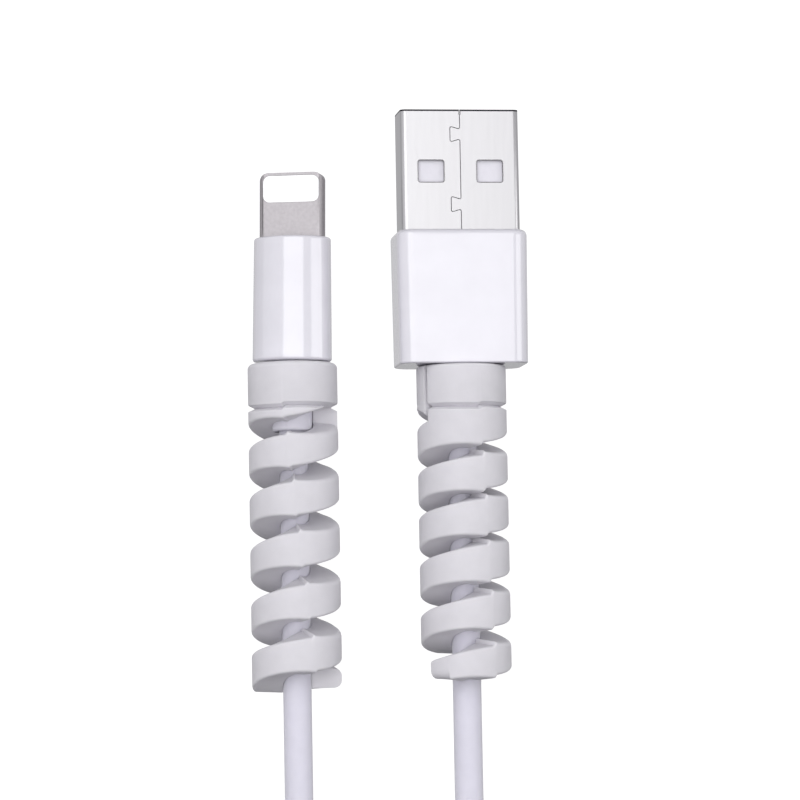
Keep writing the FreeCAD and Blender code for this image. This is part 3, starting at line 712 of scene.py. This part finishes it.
def make_protector(name, body, spiral):
    """The collar with the ribbon's first turn under it, from slit to slit, and then the other turns."""
    points = []
    faces = []

    def add(turn, chain):
        first = len(points)
        points.extend(spiral.point(radius, turn, depth) for radius, depth in chain)
        return list(range(first, len(points)))

    half_slit = math.degrees(slit_half_width / protector_radius) / 360
    start = 1 - half_slit
    crest_chain = upper_chain(spiral, start)
    crest_outer = crest_chain[-1][1]
    crest_inner = crest_chain[0][1]
    full = spiral.gap_top(start) - spiral.groove_middle

    # The first turn, whose wall is split between the collar and the ribbon in proportion to its height
    rows = []
    for i in range(steps_per_turn + 1):
        turn = half_slit + (1 - 2 * half_slit) * i / steps_per_turn
        cut = max(spiral.gap_top(turn), spiral.flap - flap_fall * turn)
        share = max(cut - spiral.groove_middle, least_height) / full
        split_outer = spiral.groove_middle + (crest_outer - spiral.groove_middle) * share
        split_inner = spiral.groove_middle + (crest_inner - spiral.groove_middle) * share
        rows.append((add(turn, collar_chain(spiral, turn, split_outer, split_inner)),
                     add(turn, lower_chain(spiral, turn, split_inner))))
    for (upper_a, low_a), (upper_b, low_b) in zip(rows, rows[1:]):
        bridge(faces, upper_a + low_a, upper_b + low_b)
    faces.append(tuple(rows[0][0] + rows[0][1]))

    # The collar's end at the slit, above the ribbon that runs on
    last_upper, last_low = rows[-1]
    crest = add(start, crest_chain)
    crest[0] = last_upper[0]
    crest[-1] = last_upper[-1]
    faces.append(tuple(last_upper + crest[-2:0:-1]))
    before = crest + last_low

    # The other turns
    count = protector_turns * steps_per_turn
    for i in range(1, count + 1):
        turn = start + (protector_turns + 1 - start) * i / count
        upper = upper_chain(spiral, turn)
        after = add(turn, upper) + add(turn, lower_chain(spiral, turn, upper[0][1]))
        bridge(faces, before, after)
        before = after
    faces.append(tuple(before))

    piece = mesh_object(name, points, faces, "protector_silicone", protector_sharp_angle)
    clean_loose(piece)
    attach(piece, body)
    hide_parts(spiral.node)


def clean_loose(piece):
    """Drops points that no face uses."""
    work = bmesh.new()
    work.from_mesh(piece.data)
    bmesh.ops.delete(work, geom=[v for v in work.verts if not v.link_faces], context="VERTS")
    work.to_mesh(piece.data)
    work.free()


# Tie
def tie_path(low, high):
    """The strap's middle line round all the turns, its end laid over its start, as points of y and z."""
    half = tie_thickness / 2
    y0, y1, z0, z1 = low.y + half, high.y - half, low.z + half, high.z - half
    near_y, far_y = y0 + tie_corner, y1 - tie_corner
    low_z, high_z = z0 + tie_corner, z1 - tie_corner
    path = [(y0 + (y1 - y0) * tie_start_share, z1)]
    corners = [(near_y, high_z, 90), (near_y, low_z, 180), (far_y, low_z, 270), (far_y, high_z, 0)]
    for corner_y, corner_z, start in corners:
        for i in range(tie_corner_steps + 1):
            angle = math.radians(start + 90 * i / tie_corner_steps)
            path.append((corner_y + tie_corner * math.cos(angle), corner_z + tie_corner * math.sin(angle)))
    end_y = y0 + (y1 - y0) * tie_end_share
    for i in range(tie_overlap_steps + 1):
        share = i / tie_overlap_steps
        climb = min(share / tie_climb_share, 1)
        rise = tie_lift * climb * climb * (3 - 2 * climb)
        path.append((far_y + (end_y - far_y) * share, z1 + rise))
    return path


def tie_ring(x, path, index):
    """Points round the strap's cross-section, whose corners are rounded, at one point of its line."""
    y, z = path[index]
    before_y, before_z = path[max(index - 1, 0)]
    after_y, after_z = path[min(index + 1, len(path) - 1)]
    along = Vector((0, after_y - before_y, after_z - before_z)).normalized()
    out = Vector((0, along.z, -along.y))
    half = tie_thickness / 2
    edge = half * tie_edge_share
    ring = []
    for corner, (side, face) in enumerate(((1, 1), (-1, 1), (-1, -1), (1, -1))):
        for step in range(tie_edge_steps + 1):
            angle = math.radians(90 * corner + 90 * step / tie_edge_steps)
            across = side * (tie_width / 2 - edge) + edge * math.cos(angle)
            height = face * (half - edge) + edge * math.sin(angle)
            ring.append(Vector((x + across, y, z)) + out * height)
    return ring


def make_tie():
    """The strap that holds the coil."""
    low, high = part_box("cord_tie")
    x = (low.x + high.x) / 2
    path = tie_path(low, high)
    points = []
    rings = []
    for index in range(len(path)):
        first = len(points)
        points.extend(tie_ring(x, path, index))
        rings.append(tuple(range(first, len(points))))
    faces = [rings[0]]
    for before, after in zip(rings, rings[1:]):
        bridge(faces, before, after)
    faces.append(rings[-1])
    piece = mesh_object("tie", points, faces, "tie_fabric", tie_sharp_angle)
    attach(piece, "cable")
    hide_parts("cord_tie")
    return piece


# Everything in place
make_camera()
make_world()
make_softbox("softbox_top", angle=-6, width=0.74, length=1.3, radiance=1.6)
make_softbox("softbox_right", angle=56, width=0.49, length=0.4, radiance=1.5)
make_floor()
for part in frame["record"]["subparts"]:
    dress(nodes[part["node"]], part["material_slot"])
bevel(nodes["usb_shell"], shell_edge)
bevel(nodes["phone_plug_frame"], tongue_edge)
cord = make_cord()
tie = make_tie()

usb_spiral = Spiral(
    "usb_end_protector", slit=-53, front=30, length=31.3 * MM, collar=3.8 * MM,
    collar_edge=0.25 * MM, set_back=0,
    tops=(4.2, 7.9, 12.55, 17.0, 21.65, 26.35, 31.2, 36.0),
    lows=(5.3, 8.85, 13.2, 17.75, 22.8, 27.95, 33.1),
    seams=(23, 43), step=0.35 * MM, step_depth=9 * MM, slope=0.4 * MM, end_edge=1.2 * MM,
    end_rise=0, flap=5.1 * MM, plain=0.1)
phone_spiral = Spiral(
    "phone_end_protector", slit=97, front=0, length=32.8 * MM, collar=4.1 * MM,
    collar_edge=0.5 * MM, set_back=0.12 * MM,
    tops=(4.13, 5.52, 10.57, 15.5, 20.7, 26.0, 31.35, 36.8),
    lows=(6.0, 7.1, 12.0, 17.1, 22.45, 27.8, 31.3),
    seams=(-17, 33), step=0.2 * MM, step_depth=4.1 * MM, slope=0.8 * MM, end_edge=1.0 * MM,
    end_rise=0.3 * MM, flap=0, plain=-groove_fade)
make_protector("usb_protector", "usb_end_protector", usb_spiral)
make_protector("phone_protector", "phone_end_protector", phone_spiral)

bpy.context.scene.view_settings.view_transform = "Standard"
